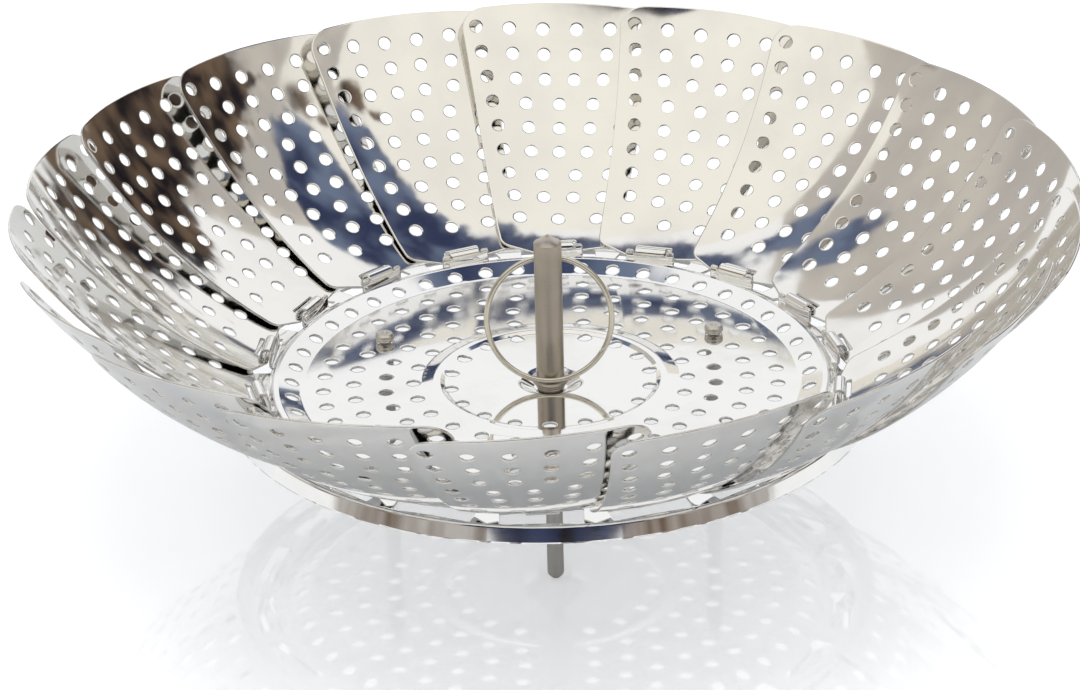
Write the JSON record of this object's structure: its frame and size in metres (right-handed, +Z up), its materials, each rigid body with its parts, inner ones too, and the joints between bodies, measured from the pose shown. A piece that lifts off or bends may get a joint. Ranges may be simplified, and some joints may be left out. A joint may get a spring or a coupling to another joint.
{
  "type": "steamer basket",
  "caption": "Open folding steamer basket of perforated stainless steel, with shingled petals hinged to a round pan, a centre post with a lifting ring, and short legs.",
  "frame": {"origin": "on the basket's upright axis, at the height of the leg ends that it stands on", "axes": "+Z up along the centre post, -Y towards the camera's side with the single leg, +X to the right"},
  "size_m": [0.2424, 0.241, 0.0742],
  "materials": {
    "polished_steel": "polished",
    "turned_steel": "satin",
    "wire_steel": "satin"
  },
  "bodies": {
    "base": {"base_pan": "polished_steel", "center_post": "turned_steel", "post_nut": "turned_steel", "leg_1": "turned_steel", "leg_2": "turned_steel", "leg_3": "turned_steel"},
    "petal_01": {"petal_01": "polished_steel"},
    "petal_02": {"petal_02": "polished_steel"},
    "petal_03": {"petal_03": "polished_steel"},
    "petal_04": {"petal_04": "polished_steel"},
    "petal_05": {"petal_05": "polished_steel"},
    "petal_06": {"petal_06": "polished_steel"},
    "petal_07": {"petal_07": "polished_steel"},
    "petal_08": {"petal_08": "polished_steel"},
    "petal_09": {"petal_09": "polished_steel"},
    "petal_10": {"petal_10": "polished_steel"},
    "petal_11": {"petal_11": "polished_steel"},
    "petal_12": {"petal_12": "polished_steel"},
    "petal_13": {"petal_13": "polished_steel"},
    "petal_14": {"petal_14": "polished_steel"},
    "petal_15": {"petal_15": "polished_steel"},
    "petal_16": {"petal_16": "polished_steel"},
    "petal_17": {"petal_17": "polished_steel"},
    "petal_18": {"petal_18": "polished_steel"},
    "lifting_ring": {"lifting_ring": "wire_steel"}
  },
  "joints": [
    {"name": "petal_01_fold", "type": "hinge", "parent": "base", "child": "petal_01", "pos_m": [0.06659, 0.009, 0.0289], "axis": [0.2368, -0.9715, 0], "range_deg": [0, 70]},
    {"name": "petal_02_fold", "type": "hinge", "parent": "base", "child": "petal_02", "pos_m": [0.0595, 0.03124, 0.0289], "axis": [0.5548, -0.832, 0], "range_deg": [0, 70]},
    {"name": "petal_03_fold", "type": "hinge", "parent": "base", "child": "petal_03", "pos_m": [0.04523, 0.0497, 0.0289], "axis": [0.8059, -0.592, 0], "range_deg": [0, 70]},
    {"name": "petal_04_fold", "type": "hinge", "parent": "base", "child": "petal_04", "pos_m": [0.0255, 0.06217, 0.0289], "axis": [0.9598, -0.2807, 0], "range_deg": [0, 70]},
    {"name": "petal_05_fold", "type": "hinge", "parent": "base", "child": "petal_05", "pos_m": [0.0027, 0.06715, 0.0289], "axis": [0.9979, 0.0645, 0], "range_deg": [0, 70]},
    {"name": "petal_06_fold", "type": "hinge", "parent": "base", "child": "petal_06", "pos_m": [-0.02043, 0.06402, 0.0289], "axis": [0.9157, 0.4019, 0], "range_deg": [0, 70]},
    {"name": "petal_07_fold", "type": "hinge", "parent": "base", "child": "petal_07", "pos_m": [-0.04109, 0.05317, 0.0289], "axis": [0.723, 0.6909, 0], "range_deg": [0, 70]},
    {"name": "petal_08_fold", "type": "hinge", "parent": "base", "child": "petal_08", "pos_m": [-0.0568, 0.03591, 0.0289], "axis": [0.4431, 0.8965, 0], "range_deg": [0, 70]},
    {"name": "petal_09_fold", "type": "hinge", "parent": "base", "child": "petal_09", "pos_m": [-0.06566, 0.01432, 0.0289], "axis": [0.1097, 0.994, 0], "range_deg": [0, 70]},
    {"name": "petal_10_fold", "type": "hinge", "parent": "base", "child": "petal_10", "pos_m": [-0.06659, -0.009, 0.0289], "axis": [-0.2368, 0.9715, 0], "range_deg": [0, 70]},
    {"name": "petal_11_fold", "type": "hinge", "parent": "base", "child": "petal_11", "pos_m": [-0.0595, -0.03124, 0.0289], "axis": [-0.5548, 0.832, 0], "range_deg": [0, 70]},
    {"name": "petal_12_fold", "type": "hinge", "parent": "base", "child": "petal_12", "pos_m": [-0.04523, -0.0497, 0.0289], "axis": [-0.8059, 0.592, 0], "range_deg": [0, 70]},
    {"name": "petal_13_fold", "type": "hinge", "parent": "base", "child": "petal_13", "pos_m": [-0.0255, -0.06217, 0.0289], "axis": [-0.9598, 0.2807, 0], "range_deg": [0, 70]},
    {"name": "petal_14_fold", "type": "hinge", "parent": "base", "child": "petal_14", "pos_m": [-0.0027, -0.06715, 0.0289], "axis": [-0.9979, -0.0645, 0], "range_deg": [0, 70]},
    {"name": "petal_15_fold", "type": "hinge", "parent": "base", "child": "petal_15", "pos_m": [0.02043, -0.06402, 0.0289], "axis": [-0.9157, -0.4019, 0], "range_deg": [0, 70]},
    {"name": "petal_16_fold", "type": "hinge", "parent": "base", "child": "petal_16", "pos_m": [0.04109, -0.05317, 0.0289], "axis": [-0.723, -0.6909, 0], "range_deg": [0, 70]},
    {"name": "petal_17_fold", "type": "hinge", "parent": "base", "child": "petal_17", "pos_m": [0.0568, -0.03591, 0.0289], "axis": [-0.4431, -0.8965, 0], "range_deg": [0, 70]},
    {"name": "petal_18_fold", "type": "hinge", "parent": "base", "child": "petal_18", "pos_m": [0.06566, -0.01432, 0.0289], "axis": [-0.1097, -0.994, 0], "range_deg": [0, 70]},
    {"name": "lifting_ring_tip", "type": "hinge", "parent": "base", "child": "lifting_ring", "pos_m": [0, -0.00415, 0.02875], "axis": [-1, 0, 0], "range_deg": [0, 72]}
  ],
  "couplings": [
    {"joint": "petal_02_fold", "follows": "petal_01_fold", "ratio": 1},
    {"joint": "petal_03_fold", "follows": "petal_01_fold", "ratio": 1},
    {"joint": "petal_04_fold", "follows": "petal_01_fold", "ratio": 1},
    {"joint": "petal_05_fold", "follows": "petal_01_fold", "ratio": 1},
    {"joint": "petal_06_fold", "follows": "petal_01_fold", "ratio": 1},
    {"joint": "petal_07_fold", "follows": "petal_01_fold", "ratio": 1},
    {"joint": "petal_08_fold", "follows": "petal_01_fold", "ratio": 1},
    {"joint": "petal_09_fold", "follows": "petal_01_fold", "ratio": 1},
    {"joint": "petal_10_fold", "follows": "petal_01_fold", "ratio": 1},
    {"joint": "petal_11_fold", "follows": "petal_01_fold", "ratio": 1},
    {"joint": "petal_12_fold", "follows": "petal_01_fold", "ratio": 1},
    {"joint": "petal_13_fold", "follows": "petal_01_fold", "ratio": 1},
    {"joint": "petal_14_fold", "follows": "petal_01_fold", "ratio": 1},
    {"joint": "petal_15_fold", "follows": "petal_01_fold", "ratio": 1},
    {"joint": "petal_16_fold", "follows": "petal_01_fold", "ratio": 1},
    {"joint": "petal_17_fold", "follows": "petal_01_fold", "ratio": 1},
    {"joint": "petal_18_fold", "follows": "petal_01_fold", "ratio": 1}
  ]
}
